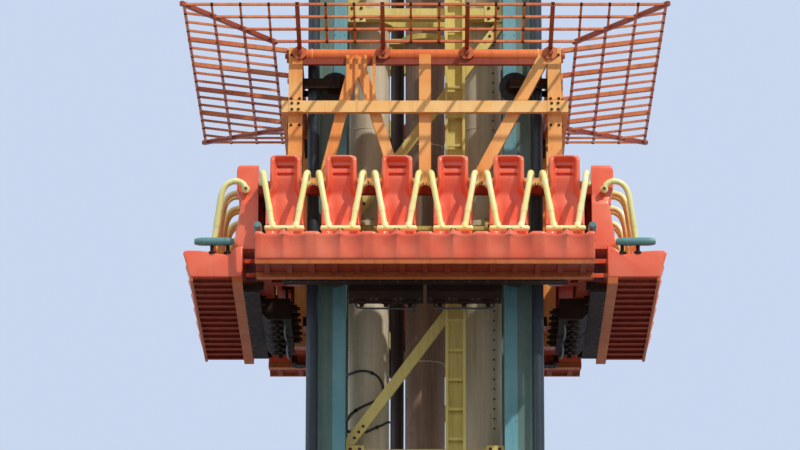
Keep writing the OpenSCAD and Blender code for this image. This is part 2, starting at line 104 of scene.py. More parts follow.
world = bpy.data.worlds.new("world")
scene.world = world
world.use_nodes = True
wt = world.node_tree
wt.nodes.clear()
w_coord, w_axes, w_level, w_light, w_seen, w_path, w_or, w_any, w_mix, w_out = (
    wt.nodes.new("ShaderNode" + kind) for kind in (
        "TexCoord", "SeparateXYZ", "MapRange", "Background", "Background", "LightPath", "Math", "Math",
        "MixShader", "OutputWorld"))
w_light.inputs[0].default_value = LIGHT_SKY
w_seen.inputs[0].default_value = SEEN_SKY
w_seen.inputs[1].default_value = 1.0
for k, v in zip((1, 2, 3, 4), (-0.4, 0.4, GROUND_LEVEL, SKY_LEVEL)):
    w_level.inputs[k].default_value = v
w_or.operation = w_any.operation = "MAXIMUM"
for source, target in (
        (w_coord.outputs["Generated"], w_axes.inputs[0]), (w_axes.outputs[2], w_level.inputs[0]),
        (w_level.outputs[0], w_light.inputs[1]), (w_path.outputs["Is Camera Ray"], w_or.inputs[0]),
        (w_path.outputs["Is Glossy Ray"], w_or.inputs[1]), (w_or.outputs[0], w_any.inputs[0]),
        (w_path.outputs["Is Transmission Ray"], w_any.inputs[1]), (w_any.outputs[0], w_mix.inputs[0]),
        (w_light.outputs[0], w_mix.inputs[1]), (w_seen.outputs[0], w_mix.inputs[2]),
        (w_mix.outputs[0], w_out.inputs[0])):
    wt.links.new(source, target)
scene.view_settings.view_transform = "Standard"


# Materials

def lin(colour):
    """The linear values of a colour written as 0 to 255 screen values."""
    return tuple(c / 255 / 12.92 if c <= 10 else ((c / 255 + 0.055) / 1.055) ** 2.4 for c in colour) + (1,)


def feed(tree, sock, value):
    """Links a node's output to an input, or sets the input's own value."""
    if hasattr(value, "is_output"):
        tree.links.new(value, sock)
    else:
        sock.default_value = value


class Nodes:
    """Short calls for building one material's node tree."""

    def __init__(self, name):
        self.mat = bpy.data.materials.new(name)
        self.mat.use_nodes = True
        self.tree = self.mat.node_tree
        self.bsdf = self.tree.nodes["Principled BSDF"]
        self.coord = self.tree.nodes.new("ShaderNodeTexCoord").outputs["Object"]

    def put(self, kind, **inputs):
        n = self.tree.nodes.new(kind)
        for key, value in inputs.items():
            feed(self.tree, n.inputs[key], value)
        return n

    def scaled(self, x, y, z):
        n = self.put("ShaderNodeMapping", Vector=self.coord)
        n.inputs["Scale"].default_value = (x, y, z)
        return n.outputs[0]

    def noise(self, scale, detail=3.0, rough=0.55, vector=None):
        n = self.put("ShaderNodeTexNoise", Vector=vector or self.coord, Scale=scale, Detail=detail,
                     Roughness=rough)
        return n.outputs["Fac"]

    def ramp(self, value, lo, hi, out_lo=0.0, out_hi=1.0):
        n = self.tree.nodes.new("ShaderNodeMapRange")
        for k, v in enumerate((value, lo, hi, out_lo, out_hi)):
            feed(self.tree, n.inputs[k], v)
        return n.outputs[0]

    def mix(self, fac, a, b):
        n = self.tree.nodes.new("ShaderNodeMix")
        n.data_type = "RGBA"
        for sock, value in ((n.inputs["Factor"], fac), (n.inputs[6], a), (n.inputs[7], b)):
            feed(self.tree, sock, value)
        return n.outputs[2]

    def math(self, op, a, b):
        n = self.tree.nodes.new("ShaderNodeMath")
        n.operation = op
        feed(self.tree, n.inputs[0], a)
        feed(self.tree, n.inputs[1], b)
        return n.outputs[0]

    def set(self, **inputs):
        for key, value in inputs.items():
            feed(self.tree, self.bsdf.inputs[key.replace("_", " ")], value)

    def bump(self, height, strength, distance):
        n = self.put("ShaderNodeBump", Height=height, Strength=strength, Distance=distance)
        self.tree.links.new(n.outputs[0], self.bsdf.inputs["Normal"])


def paint(name, base, faded, grime, rough=0.45, fade=0.5, streak=0.35, chips=0.0, chip_colour=None, coat=0.0,
          gloss=0.5):
    """Weathered paint: patchy fading, run-down streaks, fine roughness and, if asked for, chips."""
    m = Nodes(name)
    patch = m.ramp(m.noise(1.7, 4.0), 0.38, 0.68, 0.0, fade)
    colour = m.mix(patch, lin(base), lin(faded))
    runs = m.noise(1.0, 5.0, 0.65, m.scaled(14, 14, 0.7))
    colour = m.mix(m.ramp(runs, 0.50, 0.78, 0.0, streak), colour, lin(grime))
    soil = m.noise(9.0, 6.0, 0.7)
    colour = m.mix(m.ramp(soil, 0.56, 0.80, 0.0, streak * 0.8), colour, lin(grime))
    rough_out = m.ramp(m.noise(22.0, 5.0, 0.6), 0.3, 0.7, rough - 0.08, rough + 0.14)
    if chips:
        edge = 0.70 - chips * 0.1
        spots = m.ramp(m.noise(52.0, 3.0, 0.5), edge, edge + 0.06, 0.0, 0.75)
        where = m.math("MULTIPLY", spots, m.ramp(m.noise(3.0), 0.50, 0.64))
        colour = m.mix(where, colour, lin(chip_colour))
        rough_out = m.math("MAXIMUM", rough_out, m.math("MULTIPLY", where, 0.85))
    m.set(Base_Color=colour, Roughness=rough_out, Specular_IOR_Level=gloss, Coat_Weight=coat,
          Coat_Roughness=0.12)
    m.bump(m.noise(180.0, 3.0, 0.6), 0.12, 0.002)
    return m.mat


def moulded(name, base, faded, grime):
    """Glass fibre: gel coat gloss, gentle waviness, sun fading and scuffs."""
    m = Nodes(name)
    colour = m.mix(m.ramp(m.noise(2.3, 3.0), 0.36, 0.70, 0.0, 0.55), lin(base), lin(faded))
    scuff = m.noise(1.0, 4.0, 0.7, m.scaled(9, 30, 55))
    colour = m.mix(m.ramp(scuff, 0.60, 0.80, 0.0, 0.28), colour, lin(faded))
    runs = m.noise(1.0, 5.0, 0.6, m.scaled(18, 18, 1.2))
    colour = m.mix(m.ramp(runs, 0.56, 0.82, 0.0, 0.30), colour, lin(grime))
    rough = m.ramp(m.noise(14.0, 5.0, 0.65), 0.3, 0.72, 0.24, 0.46)
    m.set(Base_Color=colour, Roughness=rough, Coat_Weight=0.35, Coat_Roughness=0.08)
    m.bump(m.noise(26.0, 2.0, 0.5), 0.10, 0.004)
    return m.mat


def tube_steel(name, base, dark, light):
    """Painted pressure tube: long rain streaks, fine runs and dull patches."""
    m = Nodes(name)
    long_runs = m.noise(1.0, 5.0, 0.6, m.scaled(5, 5, 0.35))
    colour = m.mix(m.ramp(long_runs, 0.42, 0.66, 0.0, 0.75), lin(base), lin(dark))
    fine = m.noise(1.0, 6.0, 0.7, m.scaled(26, 26, 1.6))
    colour = m.mix(m.ramp(fine, 0.48, 0.74, 0.0, 0.40), colour, lin(light))
    colour = m.mix(m.ramp(m.noise(6.0, 7.0, 0.75), 0.54, 0.74, 0.0, 0.55), colour, lin(dark))
    m.set(Base_Color=colour, Roughness=m.ramp(m.noise(19.0, 5.0), 0.3, 0.7, 0.42, 0.72))
    m.bump(m.noise(90.0, 4.0, 0.6), 0.14, 0.003)
    return m.mat


def plain(name, base, other, rough, metal=0.0, scale=40.0, bump=0.1):
    """One colour with patches of another."""
    m = Nodes(name)
    colour = m.mix(m.ramp(m.noise(scale, 5.0, 0.65), 0.35, 0.7), lin(base), lin(other))
    rough_out = m.ramp(m.noise(scale * 0.6, 4.0), 0.3, 0.7, rough - 0.08, rough + 0.12)
    m.set(Base_Color=colour, Roughness=rough_out, Metallic=metal)
    m.bump(m.noise(scale * 5, 3.0), bump, 0.001)
    return m.mat


RUST = (118, 58, 34)
M = {
    # Green-grey column: the teal paint darkened, partly grime and partly painted shade
    "column": paint("column_grime_and_shade_green", (88, 118, 112), (118, 140, 126), (52, 66, 60),
                    rough=0.48, fade=0.6, streak=0.5, chips=0.2, chip_colour=RUST),
    "teal": paint("strip_teal", (98, 156, 168), (128, 180, 186), (66, 106, 114),
                  rough=0.4, fade=0.6, streak=0.45, chips=0.2, chip_colour=RUST),
    # Near-black navy for the guide tubes and sheaves: dark paint, deepened with painted shade
    "rail": paint("rail_dark_paint_and_shade", (34, 46, 54), (56, 70, 76), (22, 26, 28),
                  rough=0.4, fade=0.5, streak=0.5, chips=0.1, chip_colour=RUST),
    "riser": paint("riser_brown", (58, 44, 38), (82, 64, 54), (30, 24, 22), rough=0.5, fade=0.5, streak=0.5),
    "straw": paint("lattice_straw", (212, 194, 104), (226, 212, 146), (158, 138, 84),
                   rough=0.5, fade=0.6, streak=0.5, chips=0.1, chip_colour=(150, 112, 62)),
    "tube": tube_steel("air_tube_paint", (208, 199, 174), (168, 153, 128), (230, 222, 202)),
    # The centre tube's brown is painted shade: the same cream tube paint, darkened as if it stood in the
    # tower's shade
    "tube_shade_brown": tube_steel("centre_tube_painted_shade", (148, 122, 104), (104, 78, 66), (176, 154, 132)),
    "orange": paint("frame_orange", (242, 156, 76), (250, 196, 124), (188, 106, 54),
                    rough=0.4, fade=0.85, streak=0.45, chips=0.2, chip_colour=(158, 82, 44)),
    "deep": paint("top_tube_orange", (222, 106, 46), (236, 138, 76), (150, 66, 36),
                  rough=0.36, fade=0.6, streak=0.45, chips=0.2, chip_colour=(140, 62, 34)),
    "pale": paint("belt_orange", (251, 190, 106), (254, 216, 152), (206, 126, 68),
                  rough=0.42, fade=0.8, streak=0.4, chips=0.2, chip_colour=(168, 90, 48)),
    # Dark red for brackets and eyes, also laid as painted shade on the frame's downward faces and on the rail
    # under the top tube
    "bracket": paint("bracket_red_and_painted_shade", (148, 58, 34), (176, 84, 52), (84, 36, 24),
                     rough=0.45, fade=0.6, streak=0.5, chips=0.2, chip_colour=(80, 40, 26)),
    "mesh": paint("canopy_orange", (204, 104, 54), (232, 152, 96), (118, 54, 34),
                  rough=0.45, fade=0.7, streak=0.5, chips=0.3, chip_colour=(104, 48, 30)),
    # Oxide red paint, made darker than its real tone as painted shade on the undersides
    "row": paint("row_oxide_with_painted_shade", (134, 46, 28), (156, 68, 42), (64, 28, 20),
                 rough=0.62, fade=0.6, streak=0.6, chips=0.3, chip_colour=(78, 36, 24), gloss=0.12),
    "trim": paint("edge_trim", (184, 100, 58), (202, 126, 80), (112, 60, 36),
                  rough=0.6, fade=0.6, streak=0.5, chips=0.2, chip_colour=RUST, gloss=0.15),
    # Dark brown-black for machinery, also laid as painted shade on the rows' undersides
    "dark": paint("machinery_dark_and_painted_shade", (42, 30, 25), (64, 47, 38), (20, 15, 13),
                  rough=0.7, fade=0.6, streak=0.5, gloss=0.08),
    "seat": moulded("seat_red", (238, 100, 66), (245, 144, 110), (182, 78, 56)),
    "lemon": paint("restraint_lemon", (234, 231, 146), (245, 244, 196), (196, 188, 116),
                   rough=0.32, fade=0.7, streak=0.22, chips=0.1, chip_colour=(150, 140, 96), coat=0.3),
    "grab": paint("grab_teal", (84, 134, 138), (118, 158, 158), (50, 76, 78),
                  rough=0.4, fade=0.5, streak=0.4),
    "rubber": plain("tyre_rubber", (30, 30, 32), (52, 50, 48), rough=0.75, scale=30.0, bump=0.3),
    "steel": plain("bolt_zinc", (96, 86, 78), (60, 50, 44), rough=0.55, metal=0.4, scale=60.0),
    "brown": plain("bolt_rusty", (112, 66, 42), (70, 42, 30), rough=0.75, metal=0.2, scale=80.0),
    "cable": plain("cable_black", (24, 24, 26), (44, 44, 44), rough=0.55, scale=50.0),
    "hose": plain("hose_grey", (54, 52, 52), (76, 74, 72), rough=0.5, scale=40.0),
}


# The material of each node, by how its name begins or ends: the first that fits
LOOKS = {
    "base_frame": "teal", "head_frame": "teal", "head_deck": "straw", "head_sheaves": "rail",
    # The centre tube takes the painted-shade brown copy of the tube paint
    "air_tube_centre": "tube_shade_brown", "air_tube": "tube", "air_riser": "riser", "tube_guides": "straw",
    "tower_ladder": "straw", "column": "column", "lattice": "straw", "row_frame": "row", "underside": "row",
    "seat_pan": "seat", "seat_backs": "seat", "restraints": "lemon", "guide_wheels": "rubber",
    "canopy": "mesh", "frame": "orange",
}


def dress(node, *keys):
    ob = nodes[node]
    ob.data.materials.clear()
    for key in keys:
        ob.data.materials.append(M[key])


def on_faces(node, side, keys, choose):
    """Gives faces of a node other materials by their place, seen as if the side were the front."""
    dress(node, *keys)
    for p in nodes[node].data.polygons:
        x, y = p.center.x, p.center.y
        for _ in range(side):
            x, y = y, -x
        p.material_index = choose(x, y, p.center.z - Z0, p.normal.z)


def row_face(x, y, z, up):
    """The oxide body, its front trim, and painted shade on its underside in the dark machinery colour."""
    return 1 if y < -PAN_IN + 0.001 and z < 0.003 else 2 if z < 0.012 else 0


def underside_face(x, y, z, up):
    """The ribs, and the trim under the front lip."""
    return 1 if y < -2.488 else 0


def canopy_face(x, y, z, up):
    """The mesh, and its corner and main ribs."""
    corner = abs(abs(x) + y) < 0.055
    main = min(abs(abs(x) - 1.5 * RIB), abs(abs(x) - 4.5 * RIB)) < 0.016
    return 1 if corner or main else 0


def frame_face(x, y, z, up):
    """The posts, the top tube, the belt, the dark wheel arms, and painted shade in dark red on the
    undersides.
    """
    # Low faces that point down take the dark red as painted shade
    if up < -0.9 and z < 1.5:
        return 4
    if y < -POST_OUT - 0.001 and abs(z - BELT_Z) < 0.071:
        return 2
    at_wheel = min(abs(z - WHEEL_HIGH), abs(z - WHEEL_LOW)) < 0.056
    if y > -POST_IN - 0.042 and abs(x) < POST_IN - 0.001 and at_wheel:
        return 3
    return 1 if z > TOP_Z - 0.08 else 0


for n in nodes:
    dress(n, next(key for part, key in LOOKS.items() if n.startswith(part) or n.endswith("_" + part)))
for i, side in enumerate(SIDES):
    on_faces(side + "_row_frame", i, ("row", "trim", "dark"), row_face)
    on_faces(side + "_underside", i, ("row", "trim"), underside_face)
    on_faces(side + "_canopy", i, ("mesh", "bracket"), canopy_face)
    on_faces(side + "_frame", i, ("orange", "deep", "pale", "dark", "bracket"), frame_face)

# The guide tube and its web are dark paint deepened with painted shade, and the rest of the column is
# green-grey, partly grime and partly painted shade
for corner in CORNERS:
    dress(corner + "_column", "column", "rail")
    for p in nodes[corner + "_column"].data.polygons:
        c = p.center
        if min(abs(c.x), abs(c.y)) > COLUMN_FACE + 0.002 and c.z > 0.3:
            p.material_index = 1


# Mesh helpers: a shape is its points and its faces

class Batch:
    """Collects shapes and makes one object of them."""

    def __init__(self):
        self.v, self.f, self.m, self.n = [], [], [], 0

    def put(self, verts, faces, slot=0):
        verts = np.asarray(verts, float)
        self.v.append(verts)
        self.f += [tuple(i + self.n for i in f) for f in faces]
        self.m += [slot] * len(faces)
        self.n += len(verts)

    def add(self, side, shape, slot=0, z=Z0):
        """Puts a shape that is written for the front side at z = 0 on the side with this number."""
        verts, faces = shape
        p = turned(side, verts)
        p[:, 2] += z
        self.put(p, faces, slot)

    def make(self, name, keys, body, smooth, replaces=()):
        mesh = bpy.data.meshes.new(name)
        mesh.from_pydata(np.concatenate(self.v).tolist(), [], self.f)
        mesh.polygons.foreach_set("material_index", self.m)
        for key in keys:
            mesh.materials.append(M[key])
        mesh.validate()
        mesh.shade_smooth()
        mesh.set_sharp_from_angle(angle=math.radians(smooth))
        ob = bpy.data.objects.new(name, mesh)
        scene.collection.objects.link(ob)
        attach(ob, body)
        if replaces:
            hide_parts(*replaces)


def turned(i, pts):
    """Points turned from the front to the side with this number."""
    p = np.array(pts, float).reshape(-1, 3)
    for _ in range(i % 4):
        p = np.stack([-p[:, 1], p[:, 0], p[:, 2]], 1)
    return p


def box_shape(lo, hi, bevel=0.0):
    """A box with all its edges chamfered."""
    lo, hi = np.array(lo, float), np.array(hi, float)
    b = min(bevel, *((hi - lo) / 2.2)) if bevel else 0.0
    if not b:
        v = [[(lo, hi)[i][0], (lo, hi)[j][1], (lo, hi)[k][2]] for i in (0, 1) for j in (0, 1) for k in (0, 1)]
        return v, [(0, 1, 3, 2), (4, 6, 7, 5), (0, 4, 5, 1), (2, 3, 7, 6), (0, 2, 6, 4), (1, 5, 7, 3)]
    v, index = [], {}
    for i in (0, 1):
        for j in (0, 1):
            for k in (0, 1):
                c = [(lo, hi)[s][a] for a, s in enumerate((i, j, k))]
                sign = [1 - 2 * s for s in (i, j, k)]
                for a in range(3):
                    p = [c[t] + (0 if t == a else sign[t] * b) for t in range(3)]
                    index[i, j, k, a] = len(v)
                    v.append(p)
    f = []
    for a in range(3):
        u, w = (a + 1) % 3, (a + 2) % 3
        for s in (0, 1):
            ring = []
            for p, q in ((0, 0), (1, 0), (1, 1), (0, 1)):
                key = [0, 0, 0]
                key[a], key[u], key[w] = s, p, q
                ring.append(index[key[0], key[1], key[2], a])
            f.append(tuple(ring if s else ring[::-1]))
    for a in range(3):
        u, w = (a + 1) % 3, (a + 2) % 3
        for p in (0, 1):
            for q in (0, 1):
                ends = []
                for s in (0, 1):
                    key = [0, 0, 0]
                    key[a], key[u], key[w] = s, p, q
                    ends.append(tuple(key))
                k0, k1 = ends
                quad = (index[k0 + (u,)], index[k1 + (u,)], index[k1 + (w,)], index[k0 + (w,)])
                f.append(quad if p == q else quad[::-1])
    for i in (0, 1):
        for j in (0, 1):
            for k in (0, 1):
                tri = tuple(index[i, j, k, a] for a in range(3))
                f.append(tri if (i + j + k) % 2 else tri[::-1])
    return v, f


def basis(direction):
    """Two directions across the given one, and the given one at length 1."""
    d = np.array(direction, float)
    d /= np.linalg.norm(d)
    u = np.cross(d, (0, 0, 1) if abs(d[2]) < 0.9 else (1, 0, 0))
    u /= np.linalg.norm(u)
    return u, np.cross(d, u), d


def lathe(at, direction, profile, seg=20):
    """A turned shape: profile holds (distance along the axis, radius), closed at its ends."""
    u, w, d = basis(direction)
    at = np.array(at, float)
    v, f = [], []
    ang = np.arange(seg) * 2 * math.pi / seg
    ring = np.cos(ang)[:, None] * u + np.sin(ang)[:, None] * w
    for h, r in profile:
        v += (at + d * h + ring * max(r, 1e-4)).tolist()
    for k in range(len(profile) - 1):
        for s in range(seg):
            t = (s + 1) % seg
            f.append((k * seg + s, k * seg + t, (k + 1) * seg + t, (k + 1) * seg + s))
    f.append(tuple(range(seg))[::-1])
    f.append(tuple((len(profile) - 1) * seg + s for s in range(seg)))
    return v, f


def smooth_path(pts, per=8):
    """Catmull-Rom points through pts, per of them to each piece."""
    p = np.array(pts, float)
    ext = np.vstack([2 * p[0] - p[1], p, 2 * p[-1] - p[-2]])
    out = []
    for k in range(len(p) - 1):
        a, b, c, d = ext[k:k + 4]
        for t in np.linspace(0, 1, per, endpoint=False):
            out.append(0.5 * (2 * b + (c - a) * t + (2 * a - 5 * b + 4 * c - d) * t * t
                              + (3 * b - a - 3 * c + d) * t ** 3))
    out.append(p[-1])
    return np.array(out)


def sweep(path, r, seg=12):
    """A tube along path; r may be one number or one for each point."""
    p = np.array(path, float)
    rs = np.broadcast_to(np.array(r, float), (len(p),))
    tan = np.gradient(p, axis=0)
    tan /= np.linalg.norm(tan, axis=1)[:, None]
    u = np.cross(tan[0], (0, 0, 1))
    if np.linalg.norm(u) < 1e-3:
        u = np.cross(tan[0], (1, 0, 0))
    u /= np.linalg.norm(u)
    ang = np.arange(seg) * 2 * math.pi / seg
    v, f = [], []
    for k in range(len(p)):
        u = u - tan[k] * (u @ tan[k])
        u /= np.linalg.norm(u)
        w = np.cross(tan[k], u)
        v += (p[k] + rs[k] * (np.cos(ang)[:, None] * u + np.sin(ang)[:, None] * w)).tolist()
    for k in range(len(p) - 1):
        for s in range(seg):
            t = (s + 1) % seg
            f.append((k * seg + s, (k + 1) * seg + s, (k + 1) * seg + t, k * seg + t))
    f.append(tuple(range(seg)))
    f.append(tuple((len(p) - 1) * seg + s for s in range(seg))[::-1])
    return v, f


def bolt(at, direction, r=0.016, h=0.012):
    """A hexagon head on its washer."""
    u, w, d = basis(direction)
    at = np.array(at, float)
    v, f = [], []
    washer = ((0, r * 1.35), (h * 0.25, r * 1.35))
    head = ((h * 0.25, r), (h, r), (h * 1.2, r * 0.82))
    for n, rings in ((10, washer), (6, head)):
        ang = np.arange(n) * 2 * math.pi / n
        ring = np.cos(ang)[:, None] * u + np.sin(ang)[:, None] * w
        start = len(v)
        for z, q in rings:
            v += (at + d * z + ring * q).tolist()
        for k in range(len(rings) - 1):
            for s in range(n):
                t = (s + 1) % n
                low, high = start + k * n, start + (k + 1) * n
                f.append((low + s, low + t, high + t, high + s))
        f.append(tuple(start + (len(rings) - 1) * n + s for s in range(n)))
    return v, f


# Moulded bench of a row

THIGH_AT, THIGH_R = 0.118, 0.125


def seat_middle(k):
    return -ROW_HALF + (k + 0.5) * PITCH


def near_seat(x):
    """Distance along the row from x to the middle of its seat."""
    k = min(max(math.floor((x + ROW_HALF) / PITCH), 0), SEATS - 1)
    return abs(x - seat_middle(k))


def ease(t):
    """A smooth step from 0 to 1."""
    t = min(max(t, 0.0), 1.0)
    return t * t * (3 - 2 * t)


def pan_z_cut(x, d):
    """Height of the two thigh hollows of the nearest seat, at x along the row and d out from the axis."""
    dx = abs(near_seat(x) - THIGH_AT)
    z = 0.37 - math.sqrt(THIGH_R ** 2 - dx * dx) if dx < THIGH_R else 1.0
    return z + (1 - ease((d - 2.06) / 0.10)) * 0.16


def lip_recess(x, d):
    """How far the front lip draws back under each thigh."""
    dx = abs(near_seat(x) - THIGH_AT)
    g2 = 1 - (dx / THIGH_R) ** 2 if dx < THIGH_R else 0.0
    return 0.048 * g2 * ease((d - 2.38) / 0.16)


def pommel(x, d):
    """Rise of the horn between the thighs."""
    return 0.034 * (1 - ease(near_seat(x) / 0.075)) * ease((d - 2.14) / 0.16)


def smin(a, b, k):
    """The lower of a and b, blended over k."""
    h = max(k - abs(a - b), 0.0) / k
    return min(a, b) - h * h * k * 0.25


def pan_section():
    """The bench's outline as (out, up), from its inner lower edge round under and over the front lip."""
    out = [(PAN_IN, 0.0), (2.10, 0.0), (2.25, 0.0), (2.40, 0.0), (2.49, 0.0), (2.508, 0.003), (2.522, 0.012),
           (2.531, 0.030), (2.545, 0.08), (2.562, 0.14), (2.580, 0.20), (2.592, 0.24)]
    for a in range(0, 91, 15):
        out.append((2.56 + 0.04 * math.cos(math.radians(a)), 0.26 + 0.04 * math.sin(math.radians(a))))
    top = smooth_path([(d, z, 0) for d, z in (
        (2.56, 0.30), (2.46, 0.298), (2.34, 0.288), (2.22, 0.262), (2.15, 0.258), (2.09, 0.285),
        (2.04, 0.325), (1.99, 0.342), (PAN_IN, 0.345))], 3)
    return out + [(p[0], p[1]) for p in top[1:]]


def bench(i):
    b = Batch()
    section = pan_section()
    mid_d, mid_z = 2.25, 0.15
    end_r = 0.016
    xs = sorted(set([round(x, 4) for x in np.arange(-ROW_HALF, ROW_HALF + 0.001, 0.02)]
                    + [s * (ROW_HALF - e) for s in (-1, 1) for e in (0.002, 0.006, 0.012)]))
    verts = []
    for x in xs:
        from_end = min((ROW_HALF - abs(x)) / end_r, 1.0)
        inset = end_r * (1 - math.sqrt(max(0.0, 1 - (1 - from_end) ** 2)))
        for d, z in section:
            if z > 0.2 and d < 2.598:
                z = max(smin(z, pan_z_cut(x, d), 0.03), 0.2) + pommel(x, d) * ease((z - 0.2) / 0.09)
            d -= lip_recess(x, d) * (0.35 + 0.65 * ease(z / 0.2))
            in_d = np.sign(d - mid_d) * inset * min(abs(d - mid_d) / 0.2, 1)
            in_z = np.sign(z - mid_z) * inset * min(abs(z - mid_z) / 0.1, 1)
            verts.append((x, -(d - in_d), z - in_z))
    n = len(section)
    faces = []
    for k in range(len(xs) - 1):
        for s in range(n):
            t = (s + 1) % n
            faces.append((k * n + s, (k + 1) * n + s, (k + 1) * n + t, k * n + t))
    faces.append(tuple(range(n)))
    faces.append(tuple((len(xs) - 1) * n + s for s in range(n))[::-1])
    b.add(i, (verts, faces))
    b.make(SIDES[i] + "_bench_shell", ["seat"], "carriage", 50, [SIDES[i] + "_seat_pan"])


def grab_rails(i):
    b = Batch()
    up = (0, 0, 1)
    post = [(0, 0.02), (0.10, 0.02), (0.12, 0.024), (0.14, 0.024)]
    plate = [(0, 0.045), (0.02, 0.045), (0.026, 0.04)]
    ring_r, third_turn = 0.034, 2.094
    for a in (-1, 1):
        path = [(a * 1.78, -2.055 - t * 0.425, 0.40) for t in np.linspace(0, 1, 12)]
        b.add(i, sweep(path, [0.03, 0.041] + [0.045] * 8 + [0.041, 0.03], 14))
        x = a * 1.77
        for y in (-2.12, -2.29):
            b.add(i, lathe((x, y, 0.25), up, post, 12), 1)
            b.add(i, lathe((x, y, 0.262), up, plate, 16), 1)
            for k in range(3):
                q = k * third_turn + 0.4
                p = (x + ring_r * math.cos(q), y + ring_r * math.sin(q), 0.287)
                b.add(i, bolt(p, up, 0.006, 0.005), 1)
    b.make(SIDES[i] + "_grab_rails", ["grab", "dark"], "carriage", 40)


# Seat shells

def seat_half(z):
    """Half width of a seat's outline at height z."""
    if z < 0.84:
        return 0.21
    if z < 0.96:
        return 0.21 - 0.045 * ease((z - 0.84) / 0.12)
    if z < 1.26:
        return 0.165
    return 0.125 + 0.04 * math.sqrt(max(0.0, 1 - ((z - 1.26) / 0.04) ** 2))


# How far the wings and the hollow of a seat stand out, as (height, out)
WING = ((0.34, 0.19), (0.37, 0.25), (0.45, 0.25), (0.88, 0.185), (1.02, 0.235), (1.24, 0.238), (1.30, 0.215))
HOLLOW = ((0.34, 0.20), (0.40, 0.165), (0.46, 0.122), (0.60, 0.108), (0.75, 0.112), (0.90, 0.095),
          (1.00, 0.140), (1.06, 0.158), (1.24, 0.158), (1.262, 0.21), (1.28, 0.235))


def level(z, table):
    return float(np.interp(z, [t[0] for t in table], [t[1] for t in table]))


def seat_front(x, z):
    """How far the moulding stands out from the row's back, at x from the seat's middle and height z."""
    half = seat_half(z)
    inner = 0.158 - 0.048 * ease((z - 0.83) / 0.13)
    rim, bowl = level(z, WING), level(z, HOLLOW)
    side = ease((abs(x) - (inner - 0.022)) / 0.044)
    f = bowl + (rim - bowl) * side
    for low in (1.085, 1.165):
        slot = ease((z - low) / 0.008) * ease((low + 0.036 - z) / 0.008) * ease((0.092 - abs(x)) / 0.012)
        f -= 0.045 * slot
    f += 0.006 * math.cos(x * 38) * (1 - side) * ease((z - 0.45) / 0.1) * ease((0.9 - z) / 0.1)
    edge = max(min(half - abs(x), 1.302 - z), 0.0)
    round_r = 0.024
    if edge < round_r:
        f -= round_r - math.sqrt(max(round_r ** 2 - (round_r - edge) ** 2, 0.0))
    return max(f, 0.02)


def seat_row(i):
    b = Batch()
    zs = np.concatenate([np.linspace(0.34, 1.06, 34), np.linspace(1.07, 1.30, 32)])
    even = np.linspace(-1, 1, 37)
    us = 0.55 * np.sin(even * math.pi / 2) + 0.45 * even
    nz, nu = len(zs), len(us)
    grid = np.array([[(x, -ROW_HALF - seat_front(x, z), z) for x in us * seat_half(z)] for z in zs])
    back = grid.copy()
    back[:, :, 1] = -ROW_HALF - 0.0005
    faces = []
    for a in range(nz - 1):
        for c in range(nu - 1):
            q = a * nu + c
            faces.append((q, q + 1, q + nu + 1, q + nu))
    n = nz * nu
    loop = ([c for c in range(nu)] + [a * nu + nu - 1 for a in range(1, nz)]
            + [(nz - 1) * nu + c for c in range(nu - 2, -1, -1)] + [a * nu for a in range(nz - 2, 0, -1)])
    for k in range(len(loop)):
        t = (k + 1) % len(loop)
        faces.append((loop[t], loop[k], n + k, n + t))
    faces.append(tuple(n + k for k in range(len(loop)))[::-1])
    verts = np.concatenate([grid.reshape(-1, 3), back.reshape(-1, 3)[loop]])
    boss = [(0, 0.032), (0.044, 0.032), (0.0495, 0.027)]
    for k in range(SEATS):
        cx = seat_middle(k)
        b.add(i, (verts + (cx, 0, 0), faces))
        for a in (-1, 1):
            b.add(i, lathe((cx + a * 0.160, -HINGE_D, HINGE_Z), (a, 0, 0), boss, 20))
            for z in (0.52, 0.78):
                p = (cx + a * 0.184, -ROW_HALF - seat_front(0.184, z) + 0.001, z)
                b.add(i, bolt(p, (0, -1, 0), 0.007, 0.005), 1)
    b.make(SIDES[i] + "_seat_shells", ["seat", "steel"], "carriage", 42,
           [SIDES[i] + "_seat_backs"])


for i in range(4):
    seat_row(i)
    bench(i)
    grab_rails(i)


# Restraints

HUB_X = 0.2443
BAR_R = 0.032
END_X, END_OUT, END_DOWN = 0.122, 0.350, 0.59

# A restraint's tube from its hub to the cross bar: x from the seat's middle, then out and up from the hinge
BAR_LINE = ((HUB_X, 0, 0), (HUB_X, 0.022, 0.050), (HUB_X - 0.003, 0.078, 0.084),
            (HUB_X - 0.009, 0.150, 0.082), (HUB_X - 0.018, 0.218, 0.040), (HUB_X - 0.030, 0.262, -0.050),
            (HUB_X - 0.058, 0.292, -0.22), (HUB_X - 0.090, 0.318, -0.40), (0.136, 0.336, -0.52),
            (END_X, END_OUT, -END_DOWN))


